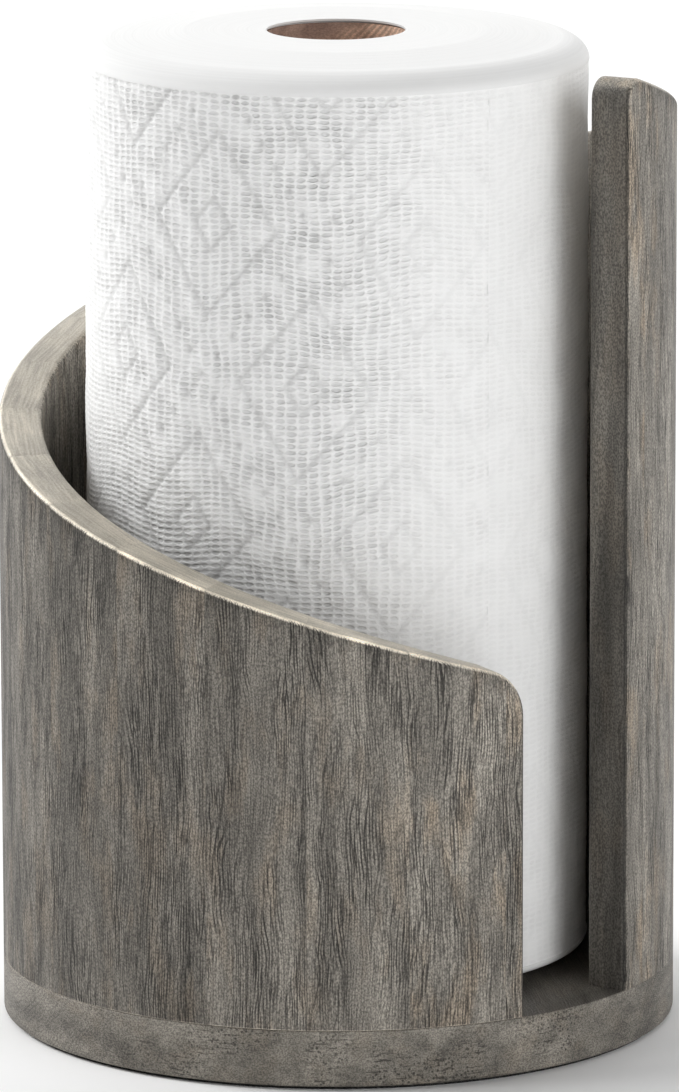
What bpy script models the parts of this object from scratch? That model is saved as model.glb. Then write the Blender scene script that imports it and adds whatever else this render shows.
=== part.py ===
"""Paper towel holder with its roll.

A round wooden base carries a coopered wall, made of upright staves glued edge to edge. One slot
is cut through the wall at the front right. From the slot's tall side the rim falls in a single
spiral turn round the back to the slot's low side. The roll stands on the base inside the wall.

Metres, +Z up, origin at the centre of the underside. An azimuth is measured from the front (-Y)
towards the right (+X), in degrees, so it runs anticlockwise seen from above.
"""

import math

import bmesh
import bpy
from mathutils import Matrix, Vector

# Driving dimensions
GAP = 0.0003  # left between pieces that touch
OUTER_RADIUS = 0.101
WALL_THICKNESS = 0.013
PAD_THICKNESS = 0.001
BASE_THICKNESS = 0.017
TALL_END_HEIGHT = 0.2925  # of the rim's straight line, before its corner is rounded
LOW_END_HEIGHT = 0.1198
TALL_END_AZIMUTH = 57.0
SLOT_ANGLE = 24.3
ROLL_RADIUS = 0.0753
ROLL_HEIGHT = 0.2794
CORE_BORE_RADIUS = 0.0205
CORE_THICKNESS = 0.001

# Details of the wood
STAVE_ANGLE = 360 / 21
FIRST_JOINT_AZIMUTH = 63.3
STAVE_COLUMNS = 6  # facets across one full stave
TALL_CORNER_RADIUS = 0.0065
LOW_CORNER_RADIUS = 0.0155
CORNER_STEPS = 10
RIM_ROUNDING = 0.0016
ROUNDING_SEGMENTS = 3
BASE_ROUNDING = 0.0012
BASE_GRAIN_AZIMUTH = 8.0
BOARD_JOINT_OFFSET = OUTER_RADIUS / 3
BASE_FACETS = 96
PAD_INSET = 0.0022

# Screws that hold the wall to the base, driven from below
SCREW_COUNT = 7
SCREW_STAVE_STEP = 3
SCREW_LENGTH = 0.035
SCREW_SHANK_RADIUS = 0.002
SCREW_HEAD_RADIUS = 0.004
SCREW_TIP_LENGTH = 0.005
SCREW_SINK = 0.0004  # head below the base's underside
SCREW_FACETS = 16
RECESS_WIDTH = 0.0011
RECESS_SPAN = 0.0044
RECESS_DEPTH = 0.0016

# Details of the roll, whose ends are softly crowned
CROWN_START = 0.045  # radius where the top begins to fall
CROWN_DROP = 0.002
SHOULDER_WIDTH = 0.0093
SHOULDER_DROP = 0.0065
FOOT_FLAT_RADIUS = 0.058
FOOT_RISE = 0.0035
FOOT_ROUNDING = 0.0025
ROLL_FACETS = 96
SHOULDER_STEPS = 6

# Heights and places that follow from the dimensions above
BASE_BOTTOM = PAD_THICKNESS
BASE_TOP = BASE_BOTTOM + BASE_THICKNESS
WALL_BOTTOM = BASE_TOP + GAP
INNER_RADIUS = OUTER_RADIUS - WALL_THICKNESS
MIDDLE_RADIUS = OUTER_RADIUS - WALL_THICKNESS / 2
LOW_END_AZIMUTH = TALL_END_AZIMUTH + 360 - SLOT_ANGLE
WALL_LENGTH = math.radians(LOW_END_AZIMUTH - TALL_END_AZIMUTH) * OUTER_RADIUS
RIM_SLOPE = (TALL_END_HEIGHT - LOW_END_HEIGHT) / WALL_LENGTH
JOINT_MARGIN = math.degrees(GAP / 2 / INNER_RADIUS)
ROLL_BOTTOM = BASE_TOP + GAP
CORE_RADIUS = CORE_BORE_RADIUS + CORE_THICKNESS

# Base colours, with roughness and metallic value
MATERIALS = {
    "wall_wood": ((0.25, 0.235, 0.215, 1), 0.55, 0.0),
    "base_wood": ((0.27, 0.255, 0.235, 1), 0.55, 0.0),
    "pad_rubber": ((0.02, 0.02, 0.02, 1), 0.9, 0.0),
    "screw_steel": ((0.55, 0.53, 0.48, 1), 0.35, 1.0),
    "core_cardboard": ((0.33, 0.22, 0.13, 1), 0.9, 0.0),
    "towel_paper": ((0.9, 0.9, 0.9, 1), 0.95, 0.0),
}


def clear_scene():
    for obj in list(bpy.data.objects):
        bpy.data.objects.remove(obj)


def material(name):
    """The named material, made the first time that it is asked for."""
    found = bpy.data.materials.get(name)
    if found:
        return found
    colour, roughness, metallic = MATERIALS[name]
    made = bpy.data.materials.new(name)
    made.use_nodes = True
    shader = made.node_tree.nodes["Principled BSDF"]
    shader.inputs["Base Color"].default_value = colour
    shader.inputs["Roughness"].default_value = roughness
    shader.inputs["Metallic"].default_value = metallic
    made.diffuse_color = colour
    return made


def add_object(name, mesh, material_name, parent=None):
    """Links a mesh into the scene as a named, finished piece."""
    obj = bpy.data.objects.new(name, mesh)
    bpy.context.scene.collection.objects.link(obj)
    mesh.materials.append(material(material_name))
    mesh.shade_smooth()
    mesh.set_sharp_from_angle(angle=math.radians(30))
    obj.parent = parent
    return obj


def add_empty(name, location=(0, 0, 0), parent=None):
    empty = bpy.data.objects.new(name, None)
    empty.location = location
    empty.parent = parent
    bpy.context.scene.collection.objects.link(empty)
    return empty


def finish_mesh(bm, name):
    """Turns all faces outward and hands back an ordinary mesh."""
    bmesh.ops.recalc_face_normals(bm, faces=bm.faces)
    mesh = bpy.data.meshes.new(name)
    bm.to_mesh(mesh)
    bm.free()
    return mesh


def at_azimuth(azimuth, radius, height):
    angle = math.radians(azimuth)
    return Vector((radius * math.sin(angle), -radius * math.cos(angle), height))


def corner_points(end, radius, start_angle, end_angle):
    """(length along the wall, height) round one of the rim's two rounded corners.

    end is where the slot's edge is along the wall, and the angles are those of the arc's normals.
    """
    lean = math.sqrt(1 + RIM_SLOPE**2)
    centre = end + radius if end == 0 else end - radius
    height = TALL_END_HEIGHT - RIM_SLOPE * centre - radius * lean
    points = []
    for step in range(CORNER_STEPS + 1):
        angle = start_angle + (end_angle - start_angle) * step / CORNER_STEPS
        points.append((centre + radius * math.cos(angle), height + radius * math.sin(angle)))
    return points


def rim_outline():
    """(azimuth, height) along the whole rim, from the tall end to the low end."""
    rim_normal = math.atan2(1, RIM_SLOPE)
    tall_corner = corner_points(0, TALL_CORNER_RADIUS, math.pi, rim_normal)
    low_corner = corner_points(WALL_LENGTH, LOW_CORNER_RADIUS, rim_normal, 0)
    points = tall_corner + low_corner
    return [(TALL_END_AZIMUTH + math.degrees(s / OUTER_RADIUS), z) for s, z in points]


def rim_height(azimuth, outline):
    """The rim's height at an azimuth, straight between the outline's points."""
    for (a0, z0), (a1, z1) in zip(outline, outline[1:]):
        if a0 <= azimuth <= a1 and a1 > a0:
            return z0 + (z1 - z0) * (azimuth - a0) / (a1 - a0)
    return outline[0][1] if azimuth < outline[0][0] else outline[-1][1]


def stave_columns(start, end, outline):
    """(azimuth, height) of one stave's upper edge, with the rim's own corner points kept."""
    count = max(1, round((end - start) / STAVE_ANGLE * STAVE_COLUMNS))
    azimuths = [start + (end - start) * i / count for i in range(count + 1)]
    apart = 0.4 * (azimuths[1] - azimuths[0])
    corners = [a for a, _ in outline if start + 1e-6 < a < end - 1e-6]
    kept = [a for a in azimuths[1:-1] if all(abs(a - c) > apart for c in corners)]
    return [(a, rim_height(a, outline)) for a in sorted([start, end] + kept + corners)]


def stave_mesh(name, start, end, outline):
    """A slice of the wall between two azimuths, with a rounded rim."""
    bm = bmesh.new()
    weights = bm.edges.layers.float.new("bevel_weight_edge")
    columns = []
    for azimuth, height in stave_columns(start, end, outline):
        corners = (
            at_azimuth(azimuth, OUTER_RADIUS, WALL_BOTTOM),
            at_azimuth(azimuth, OUTER_RADIUS, height),
            at_azimuth(azimuth, INNER_RADIUS, height),
            at_azimuth(azimuth, INNER_RADIUS, WALL_BOTTOM),
        )
        columns.append([bm.verts.new(corner) for corner in corners])
    for left, right in zip(columns, columns[1:]):
        for k in range(4):
            bm.faces.new((left[k], right[k], right[(k + 1) % 4], left[(k + 1) % 4]))
        for k in (1, 2):
            bm.edges.get((left[k], right[k]))[weights] = 1
    bm.faces.new(columns[0])
    bm.faces.new(columns[-1])
    slot_sides = []
    if abs(start - TALL_END_AZIMUTH) < 1e-6:
        slot_sides.append(columns[0])
    if abs(end - LOW_END_AZIMUTH) < 1e-6:
        slot_sides.append(columns[-1])
    for side in slot_sides:
        bm.edges.get((side[0], side[1]))[weights] = 1
        bm.edges.get((side[2], side[3]))[weights] = 1
    return finish_mesh(bm, name)


def add_wall(parent):
    """Every stave of the wall, and the two narrow strips that the slot leaves at its sides."""
    outline = rim_outline()
    joints = []
    azimuth = FIRST_JOINT_AZIMUTH
    while azimuth < LOW_END_AZIMUTH:
        joints.append(azimuth)
        azimuth += STAVE_ANGLE
    edges = [TALL_END_AZIMUTH] + joints + [LOW_END_AZIMUTH]
    last = len(edges) - 2
    for i in range(last + 1):
        name = {0: "tall_end_strip", last: "low_end_strip"}.get(i, f"stave_{i:02d}")
        start = edges[i] + (JOINT_MARGIN if i > 0 else 0)
        end = edges[i + 1] - (JOINT_MARGIN if i < last else 0)
        stave = add_object(name, stave_mesh(name, start, end, outline), "wall_wood", parent)
        bevel = stave.modifiers.new("rounded_rim", "BEVEL")
        bevel.limit_method = "WEIGHT"
        bevel.width = RIM_ROUNDING
        bevel.segments = ROUNDING_SEGMENTS
        cut_pilot_hole(stave, i)


def screw_azimuths():
    """The middles of the staves that take a screw, by stave number."""
    numbers = [1 + SCREW_STAVE_STEP * k for k in range(SCREW_COUNT)]
    return {n: FIRST_JOINT_AZIMUTH + STAVE_ANGLE * (n - 0.5) for n in numbers}


def turned_mesh(name, profile, facets):
    """A closed solid of revolution. profile is (radius, height) from its top to its bottom."""
    bm = bmesh.new()
    rings = []
    for radius, height in profile:
        if radius == 0:
            rings.append([bm.verts.new((0, 0, height))] * facets)
        else:
            turn = 360 / facets
            ring = [bm.verts.new(at_azimuth(turn * k, radius, height)) for k in range(facets)]
            rings.append(ring)
    pairs = list(zip(rings, rings[1:]))
    if profile[0][0] > 0:
        pairs.append((rings[-1], rings[0]))
    for upper, lower in pairs:
        for k in range(facets):
            after = (k + 1) % facets
            corners = [upper[k], upper[after], lower[after], lower[k]]
            bm.faces.new(list(dict.fromkeys(corners)))
    return finish_mesh(bm, name)


def cutter(name, mesh, matrix):
    """A hidden shape that a Boolean takes away from a piece."""
    tool = bpy.data.objects.new(name, mesh)
    bpy.context.scene.collection.objects.link(tool)
    tool.matrix_world = matrix
    tool.hide_render = True
    tool.display_type = "WIRE"
    return tool


def cut(obj, tool):
    boolean = obj.modifiers.new("cut_" + tool.name, "BOOLEAN")
    boolean.operation = "DIFFERENCE"
    boolean.object = tool


def screw_profile(grow):
    """(radius, height) of a countersunk screw that points up, grown by a clearance all round.

    Height 0 is the face of its head.
    """
    slant = SCREW_HEAD_RADIUS - SCREW_SHANK_RADIUS
    return [
        (0, SCREW_LENGTH + grow),
        (SCREW_SHANK_RADIUS + grow, SCREW_LENGTH - SCREW_TIP_LENGTH + grow),
        (SCREW_SHANK_RADIUS + grow, slant + grow),
        (SCREW_HEAD_RADIUS + grow, grow),
        (SCREW_HEAD_RADIUS + grow, -3 * grow),
        (0, -3 * grow),
    ]


def cut_pilot_hole(stave, number):
    """Opens the stave's foot for the screw under it, if it has one."""
    azimuth = screw_azimuths().get(number)
    if azimuth is None:
        return
    place = Matrix.Translation(at_azimuth(azimuth, MIDDLE_RADIUS, BASE_BOTTOM + SCREW_SINK))
    mesh = turned_mesh("pilot_hole", screw_profile(GAP), SCREW_FACETS)
    cut(stave, cutter(f"pilot_hole_{number:02d}", mesh, place))


def board_mesh(name, low, high):
    """A board of the base: the disc's part between two lines along the grain."""
    bm = bmesh.new()
    circle = bmesh.ops.create_circle(bm, cap_ends=True, segments=BASE_FACETS, radius=OUTER_RADIUS)
    across = at_azimuth(BASE_GRAIN_AZIMUTH + 90, 1, 0)
    for offset, side in ((low, -1), (high, 1)):
        if abs(offset) < OUTER_RADIUS:
            everything = bm.verts[:] + bm.edges[:] + bm.faces[:]
            bmesh.ops.bisect_plane(
                bm,
                geom=everything,
                plane_co=across * offset,
                plane_no=across * side,
                clear_outer=True,
            )
            bmesh.ops.holes_fill(bm, edges=[e for e in bm.edges if e.is_boundary], sides=0)
    grown = bmesh.ops.extrude_face_region(bm, geom=bm.faces[:])
    raised = [v for v in grown["geom"] if isinstance(v, bmesh.types.BMVert)]
    bmesh.ops.translate(bm, vec=(0, 0, BASE_THICKNESS), verts=raised)
    bmesh.ops.translate(bm, vec=(0, 0, BASE_BOTTOM), verts=bm.verts[:])
    weights = bm.edges.layers.float.new("bevel_weight_edge")
    for edge in bm.edges:
        ends = [v.co.xy.length for v in edge.verts]
        level = abs(edge.verts[0].co.z - edge.verts[1].co.z) < 1e-6
        if level and min(ends) > OUTER_RADIUS * 0.99 and edge.calc_length() < 0.01:
            edge[weights] = 1
    return finish_mesh(bm, name)


def add_base(parent):
    """Three boards glued edge to edge and cut round, with a countersunk hole for each screw."""
    half_gap = GAP / 2
    far = 2 * OUTER_RADIUS
    boards = {
        "base_board_left": (-far, -BOARD_JOINT_OFFSET - half_gap),
        "base_board_middle": (-BOARD_JOINT_OFFSET + half_gap, BOARD_JOINT_OFFSET - half_gap),
        "base_board_right": (BOARD_JOINT_OFFSET + half_gap, far),
    }
    across = at_azimuth(BASE_GRAIN_AZIMUTH + 90, 1, 0)
    for name, (low, high) in boards.items():
        board = add_object(name, board_mesh(name, low, high), "base_wood", parent)
        bevel = board.modifiers.new("rounded_edge", "BEVEL")
        bevel.limit_method = "WEIGHT"
        bevel.width = BASE_ROUNDING
        bevel.segments = ROUNDING_SEGMENTS
        for number, azimuth in screw_azimuths().items():
            place = at_azimuth(azimuth, MIDDLE_RADIUS, BASE_BOTTOM + SCREW_SINK)
            if low < place.dot(across) < high:
                mesh = turned_mesh("screw_hole", screw_profile(GAP), SCREW_FACETS)
                tool = cutter(f"screw_hole_{number:02d}", mesh, Matrix.Translation(place))
                cut(board, tool)


def recess_mesh():
    """The cross that a screwdriver fits, as two crossed bars that reach out of the head's face."""
    bm = bmesh.new()
    half_width = RECESS_WIDTH / 2
    half_span = RECESS_SPAN / 2
    low = -RECESS_DEPTH
    arm = ((half_span, -half_width), (half_span, half_width), (half_width, half_width))
    outline = []
    for turn in (0, 90, 180, 270):
        matrix = Matrix.Rotation(math.radians(turn), 3, "Z")
        outline += [matrix @ Vector((x, y, low)) for x, y in arm]
    face = bm.faces.new([bm.verts.new(point) for point in outline])
    grown = bmesh.ops.extrude_face_region(bm, geom=[face])
    raised = [v for v in grown["geom"] if isinstance(v, bmesh.types.BMVert)]
    bmesh.ops.translate(bm, vec=(0, 0, 2 * RECESS_DEPTH), verts=raised)
    return finish_mesh(bm, "screw_recess")


def add_screws(parent):
    shape = turned_mesh("wood_screw", screw_profile(0), SCREW_FACETS)
    for order, azimuth in enumerate(screw_azimuths().values(), start=1):
        place = at_azimuth(azimuth, MIDDLE_RADIUS, BASE_BOTTOM + SCREW_SINK)
        screw = add_object(f"wood_screw_{order}", shape.copy(), "screw_steel", parent)
        screw.location = place
        tool = cutter(f"screw_recess_{order}", recess_mesh(), Matrix.Translation(place))
        cut(screw, tool)


def add_pad(parent):
    """The thin non-slip disc under the base."""
    radius = OUTER_RADIUS - PAD_INSET
    top = PAD_THICKNESS - GAP
    mesh = turned_mesh("non_slip_pad", [(0, top), (radius, top), (radius, 0), (0, 0)], BASE_FACETS)
    add_object("non_slip_pad", mesh, "pad_rubber", parent)


def add_core(parent):
    """The cardboard tube that the paper is wound on."""
    profile = [
        (CORE_RADIUS, ROLL_HEIGHT),
        (CORE_RADIUS, 0),
        (CORE_BORE_RADIUS, 0),
        (CORE_BORE_RADIUS, ROLL_HEIGHT),
    ]
    add_object("roll_core", turned_mesh("roll_core", profile, ROLL_FACETS), "core_cardboard", parent)


def quarter_turn(flank, level, width, height):
    """(radius, height) from a level end, round a quarter of an ellipse, to an upright flank.

    A positive height curves down from a top face, and a negative one curves up from a foot.
    """
    points = []
    for step in range(SHOULDER_STEPS + 1):
        angle = math.pi / 2 * (1 - step / SHOULDER_STEPS)
        out = flank - width + width * math.cos(angle)
        points.append((out, level - height + height * math.sin(angle)))
    return points


def add_paper(parent):
    """The wound paper, as one ring with a crowned top and a foot whose edge lifts a little."""
    bore = CORE_RADIUS + GAP
    crown = ROLL_HEIGHT - CROWN_DROP
    shoulder = quarter_turn(ROLL_RADIUS, crown, SHOULDER_WIDTH, SHOULDER_DROP)
    foot = quarter_turn(ROLL_RADIUS, FOOT_RISE, FOOT_ROUNDING, -FOOT_ROUNDING)
    profile = [(bore, ROLL_HEIGHT), (CROWN_START, ROLL_HEIGHT)] + shoulder
    profile += foot[::-1] + [(FOOT_FLAT_RADIUS, 0), (bore, 0)]
    add_object("paper_roll", turned_mesh("paper_roll", profile, ROLL_FACETS), "towel_paper", parent)


def main():
    clear_scene()
    holder = add_empty("holder")
    roll_lift = add_empty("roll_lift", location=(0, 0, ROLL_BOTTOM), parent=holder)
    roll_spin = add_empty("roll_spin", parent=roll_lift)
    add_pad(holder)
    add_base(holder)
    add_wall(holder)
    add_screws(holder)
    add_core(roll_lift)
    add_paper(roll_spin)


main()
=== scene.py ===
"""Looks for the paper towel holder: stained wood, an embossed paper roll and its cardboard core.

Metres, +Z up, origin at the centre of the underside. An azimuth is measured from the front (-Y)
towards the right (+X), in degrees. A length along the wall or along the paper is azimuth times
radius.
"""

import math

import bmesh
import bpy
import numpy as np
from mathutils import Matrix, Vector


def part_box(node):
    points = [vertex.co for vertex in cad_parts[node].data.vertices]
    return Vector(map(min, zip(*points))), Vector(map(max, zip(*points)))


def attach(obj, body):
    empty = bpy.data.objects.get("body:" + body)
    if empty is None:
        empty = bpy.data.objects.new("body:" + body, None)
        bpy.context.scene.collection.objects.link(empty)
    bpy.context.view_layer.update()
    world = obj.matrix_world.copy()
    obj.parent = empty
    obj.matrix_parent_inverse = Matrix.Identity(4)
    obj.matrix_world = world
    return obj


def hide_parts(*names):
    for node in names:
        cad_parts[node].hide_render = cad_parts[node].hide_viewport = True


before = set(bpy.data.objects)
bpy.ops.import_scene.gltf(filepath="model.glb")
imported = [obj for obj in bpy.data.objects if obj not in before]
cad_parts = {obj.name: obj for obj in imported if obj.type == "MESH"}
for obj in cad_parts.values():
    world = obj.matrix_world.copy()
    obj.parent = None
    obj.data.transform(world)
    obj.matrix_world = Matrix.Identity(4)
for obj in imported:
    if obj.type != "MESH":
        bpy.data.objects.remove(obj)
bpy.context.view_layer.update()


def radii(node):
    """The distances of a CAD node's nearest and farthest points from the roll's axis.

    The farther one is a hair short, so that no rounded number lies outside the CAD.
    """
    places = np.array([v.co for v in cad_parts[node].data.vertices])
    across = np.hypot(places[:, 0], places[:, 1])
    return float(across.min()), float(across.max()) - 1e-6


def heights(node):
    """The heights of a CAD node's underside and top."""
    low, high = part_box(node)
    return low.z, high.z


# Sizes read from the frame
INNER_RADIUS, OUTER_RADIUS = radii("stave_01")
BASE_BOTTOM, BASE_TOP = heights("base_board_middle")
PAD_RADIUS = radii("non_slip_pad")[1]
PAD_BOTTOM, PAD_TOP = heights("non_slip_pad")
CORE_BORE_RADIUS, CORE_RADIUS = radii("roll_core")
BORE_RADIUS, ROLL_RADIUS = radii("paper_roll")
ROLL_BOTTOM, ROLL_TOP = heights("paper_roll")
SCREW_BOTTOM, SCREW_TOP = heights("wood_screw_1")
MIDDLE_RADIUS = (INNER_RADIUS + OUTER_RADIUS) / 2

# The rim and the staves, as in the CAD
TALL_END_HEIGHT = 0.2925
LOW_END_HEIGHT = 0.1198
TALL_END_AZIMUTH = 57.0
LOW_END_AZIMUTH = 392.7
STAVE_ANGLE = 360 / 21
FIRST_JOINT_AZIMUTH = 63.3
TALL_CORNER_RADIUS = 0.0065
LOW_CORNER_RADIUS = 0.0155
BASE_GRAIN_AZIMUTH = 8.0
BOARD_JOINT_OFFSET = OUTER_RADIUS / 3
SCREW_COUNT = 7
SCREW_STAVE_STEP = 3
WALL_LENGTH = math.radians(LOW_END_AZIMUTH - TALL_END_AZIMUTH) * OUTER_RADIUS
RIM_SLOPE = (TALL_END_HEIGHT - LOW_END_HEIGHT) / WALL_LENGTH

# Fine shape of the wood
RIM_ROUNDING = 0.0016
ROUNDING_STEPS = 6
BEYOND_ROUNDING = 1.3  # the first points outside a rounding, in its radii
BASE_TOP_ROUNDING = 0.0006
BASE_FOOT_ROUNDING = 0.0012
FOOT_EASE = 0.00015  # small chamfer along the wall's foot
FOOT_GAP = 0.00006  # what shows of the joint between the wall and the base
JOINT_GAP = 0.00004  # what shows of a glue joint
CORNER_STEPS = 28
STAVE_COLUMNS = 20
NARROWEST_COLUMN = 1.5e-6
ROW_DEPTHS = (0.003, 0.024, 7)  # the first, the last and the number of rows under the rim
BASE_FACETS = 288

# How the wood is stained and worn, with painted light, shade and highlights
PALE_AZIMUTH = 35  # the stain is paler beside the slot
PALE_SPREAD = 52
GLINT_AZIMUTH = -50  # a painted highlight brightens the rim's outer edge most here
GLINT_SPREAD = 75
GLINT_GAIN = 1.5
EDGE_LEAN = (0.25, 0.6)  # how far normals lean where wear and its painted highlight start, and where they are full
END_LEAN = (0.45, 0.9)  # the same for end grain
RIM_SHADE_HEIGHT = 0.004  # the wood is darker just under the rim, over about this height
RIM_SHADE = 0.3
CREASE_SHADE = 0.7  # how much darker the slot's outer corners are
SLOT_FACE_SHADED_TONE = 0.22  # the slot's side faces beside the rest of the wall, darkened with painted shade
SLOT_FACE_FIGURE = 0.35
FLOOR_SHADE = 0.25  # how much darker the base's upper face is
TALL_END_LOSS = 0.75  # how much less pale the rim is at its tall end, partly a painted dark reflection on its glossy top
RIM_PALE_LOSS = 0.5  # and towards the slot and on the right
RIM_PALE_AZIMUTHS = (0, 28)
BASE_WARMTH = 0.2
BASE_NUMBER = 40  # picks the random values of all the base's boards
WALL_LOOK = {
    "along_z": True,  # the grain runs upright
    "paleness": 0.8,  # of end grain and of worn edges, partly a painted highlight on the edges
    "pale_gain": 0.66,  # how much paler the stain is beside the slot
    "lines": 1.0,  # strength of the grain lines
    "pitted": 0.15,  # strength of the pores in end grain
}
BASE_LOOK = {"along_z": False, "paleness": 0.12, "pale_gain": 0.05, "lines": 0.35, "pitted": 0.8}

# Screws
SCREW_FACETS = 32
HEAD_RADIUS = 0.004
SHANK_RADIUS = 0.002
THREAD_DEPTH = 0.0006
THREAD_PITCH = 0.0018
TIP_LENGTH = 0.005
RECESS_SPAN = 0.0046
RECESS_WIDTH = 0.0011
RECESS_DEPTH = 0.0017
RECESS_EASE = 0.0001
HEAD_RINGS = 22
THREAD_STEPS = 7  # rings of points for each turn of the thread
RIDGE_WIDTH = 0.28  # half of what a ridge takes of the thread's pitch
TIP_SHARE = 0.06
HOLE_CLEARANCE = 0.0003

# The core's spiral plies, whose tints are partly painted light and shade
CORE_FACETS = 128
CORE_ROWS = 160
CORE_EDGE_RINGS = 4
CORE_EDGE_RELIEF = 0.00012
PLY_PITCH = 0.075
PLY_STEP = 0.00009
SEAM_SPREAD = 0.02  # as a share of a ply's turn, like the two bounds of the light ply
LIGHT_PLY_START = (0.42, 0.5)
LIGHT_PLY_END = (0.97, 0.88)
STRIPE_PITCH = 0.0024

# Shape of the roll's ends, as in the CAD
CROWN_START = 0.045
CROWN_DROP = 0.002
SHOULDER_WIDTH = 0.0093
SHOULDER_DROP = 0.0065
FOOT_FLAT_RADIUS = 0.058
FOOT_RISE = 0.0035
FOOT_ROUNDING = 0.0025
ROLL_FACETS = 256
SHOULDER_STEPS = 24
FLANK_GAP = 0.0002  # between the rounded ends and the hidden flank
WINDING_PITCH = 0.0008  # radius between the windings that show on the ends
WINDING_RELIEF = 0.00006
LIP_HEIGHT = 0.001  # the paper's inner edge folds over the end of the core
LIP_GAP = 0.0001

# The outermost turn of paper, three sheets long
SHEET_COUNT = 3
SHEET_ANGLE = 360 / SHEET_COUNT
FREE_EDGE_AZIMUTH = 36.2
SHEET_THICKNESS = 0.0003
SHEET_SINK = 0.0003  # how far the face lies inside the roll's full radius
SHEET_BACK = 0.0014  # from a sheet's face to its plain back
SHEET_END_STEP = 0.0001  # the step between one sheet and the next
LAST_SHEET_PRESSED = 0.5  # depth of the last sheet's embossing beside the others
COLUMNS_PER_CELL = 4
ROWS_PER_CELL = 3
BACK_STEP = 6  # how many fine points of the face one point of the back spans

# Embossing: small cells, and nested diamonds with dots between them
CELL_WIDTH = 0.0034
CELL_HEIGHT = 0.00167
CELL_DEPTH = 0.0004
DIAMOND_SPACING = (0.0641, 0.0897)
DIAMOND_TURN = -4.9
DIAMOND_CENTRE = (-0.0098, 0.2033)
LARGE_DIAMOND = (0.0200, 0.0272)  # half its width and half its height
SMALL_DIAMOND = (0.0059, 0.0078)
LINE_DEPTH = 0.0006  # of the diamonds' lines
LINE_WIDTH = 0.0008
DOT_DEPTH = 0.0007
DOT_RADIUS = 0.001
DOTS_PER_SIDE = 7
WAVE_COUNT = 9  # how many waves make up a soft unevenness
SOFT_WAVE = 0.00013  # how far the paper swells in broad soft waves
CRUMPLE = 0.00016  # and in small crumples
ROW_WANDER = 0.0009  # how far the rows of cells stray from a level line
COLUMN_WANDER = 0.0004
FAINT = 0.7  # how much of the embossing is lost towards the slot
FAINT_AZIMUTHS = (-8, 28)
FAR_FAINT = 0.6  # and how much at the left, from there on round the back
FAR_FAINT_AZIMUTHS = (-50, -75)
PIT_SHADE = 0.5  # how much darker the bottoms of the small cells are
GROOVE_SHADE = 0.45  # and those of the dots
LINE_SHADE_SHARE = 0.6  # how dark the diamonds' lines are beside the dots

# Linear colours
GREY_DARK = (0.112, 0.103, 0.089, 1)
GREY_LIGHT = (0.216, 0.199, 0.172, 1)
WARM_BROWN = (0.236, 0.188, 0.137, 1)
PORE_COLOUR = (0.022, 0.02, 0.018, 1)
ASH_COLOUR = (0.55, 0.50, 0.41, 1)
PAPER_WHITE = (0.9, 0.9, 0.895, 1)
PAPER_SHADE = (0.35, 0.35, 0.345, 1)
PAPER_EDGE = (0.82, 0.82, 0.815, 1)
BOARD_DARK = (0.34, 0.25, 0.2, 1)
BOARD_LIGHT = (0.52, 0.4, 0.32, 1)
# the plies' tints: partly painted shade on the bore's left and painted light on its right
SHADED_PLY_TINT = (0.78, 0.7, 0.7, 1)
LIT_PLY_TINT = (1.75, 1.6, 1.5, 1)
SEAM_COLOUR = (0.2, 0.14, 0.11, 1)
STEEL_DULL = (0.50, 0.48, 0.42, 1)
STEEL_BRIGHT = (0.68, 0.66, 0.60, 1)
RUBBER_BLACK = (0.012, 0.012, 0.012, 1)
RUBBER_DUST = (0.045, 0.044, 0.042, 1)

# The camera, at the photograph's angle
CAMERA_PLACE = (0, -2.7415, 0.7139)
CAMERA_TURNS = (0.013, 11.795, -0.144)  # yaw, pitch and roll in degrees
FOCAL_LENGTH = 308.5
SENSOR_WIDTH = 36
FLOOR_HALF_WIDTH = 30.0


# Geometry


def at_azimuth(azimuth, radius, height):
    angle = math.radians(azimuth)
    return Vector((radius * math.sin(angle), -radius * math.cos(angle), height))


def around(azimuth, radius, height):
    """Points for arrays of azimuth in degrees, radius and height, stacked on a last axis."""
    angle = np.radians(azimuth)
    parts = np.broadcast_arrays(radius * np.sin(angle), -radius * np.cos(angle), height)
    return np.stack(parts, axis=-1)


def grid_faces(rows, columns, close_rows=False, close_columns=False, first=0):
    """The quads of a grid of points that is stored row by row."""
    index = np.arange(rows * columns).reshape(rows, columns) + first
    index = np.pad(index, ((0, int(close_rows)), (0, int(close_columns))), "wrap")
    corners = (index[:-1, :-1], index[:-1, 1:], index[1:, 1:], index[1:, :-1])
    return np.stack([corner.ravel() for corner in corners], axis=1).tolist()


def turned_outward(mesh, bm):
    """The mesh with the shape of bm, and all its faces turned outward."""
    bmesh.ops.recalc_face_normals(bm, faces=bm.faces)
    bm.to_mesh(mesh)
    bm.free()
    return mesh


def mesh_of(name, points, faces):
    mesh = bpy.data.meshes.new(name)
    mesh.from_pydata(np.asarray(points).reshape(-1, 3).tolist(), [], faces)
    bm = bmesh.new()
    bm.from_mesh(mesh)
    return turned_outward(mesh, bm)


def turned_mesh(name, rings, closed=False):
    """A solid from rings of points round the axis: closed on itself, or capped at both ends."""
    count, facets = rings.shape[:2]
    faces = grid_faces(count, facets, close_rows=closed, close_columns=True)
    if not closed:
        faces.append(list(range(facets)))
        faces.append(list(range((count - 1) * facets, count * facets)))
    return mesh_of(name, rings, faces)


def rings_of(profile, facets):
    """Rings of points for a profile of (radius, height)."""
    azimuths = np.arange(facets) * 360 / facets
    profile = np.asarray(profile)
    return around(azimuths[None, :], profile[:, :1], profile[:, 1:])


def coordinates(mesh):
    places = np.empty(len(mesh.vertices) * 3, np.float32)
    mesh.vertices.foreach_get("co", places)
    return places.reshape(-1, 3).astype(float)


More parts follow.
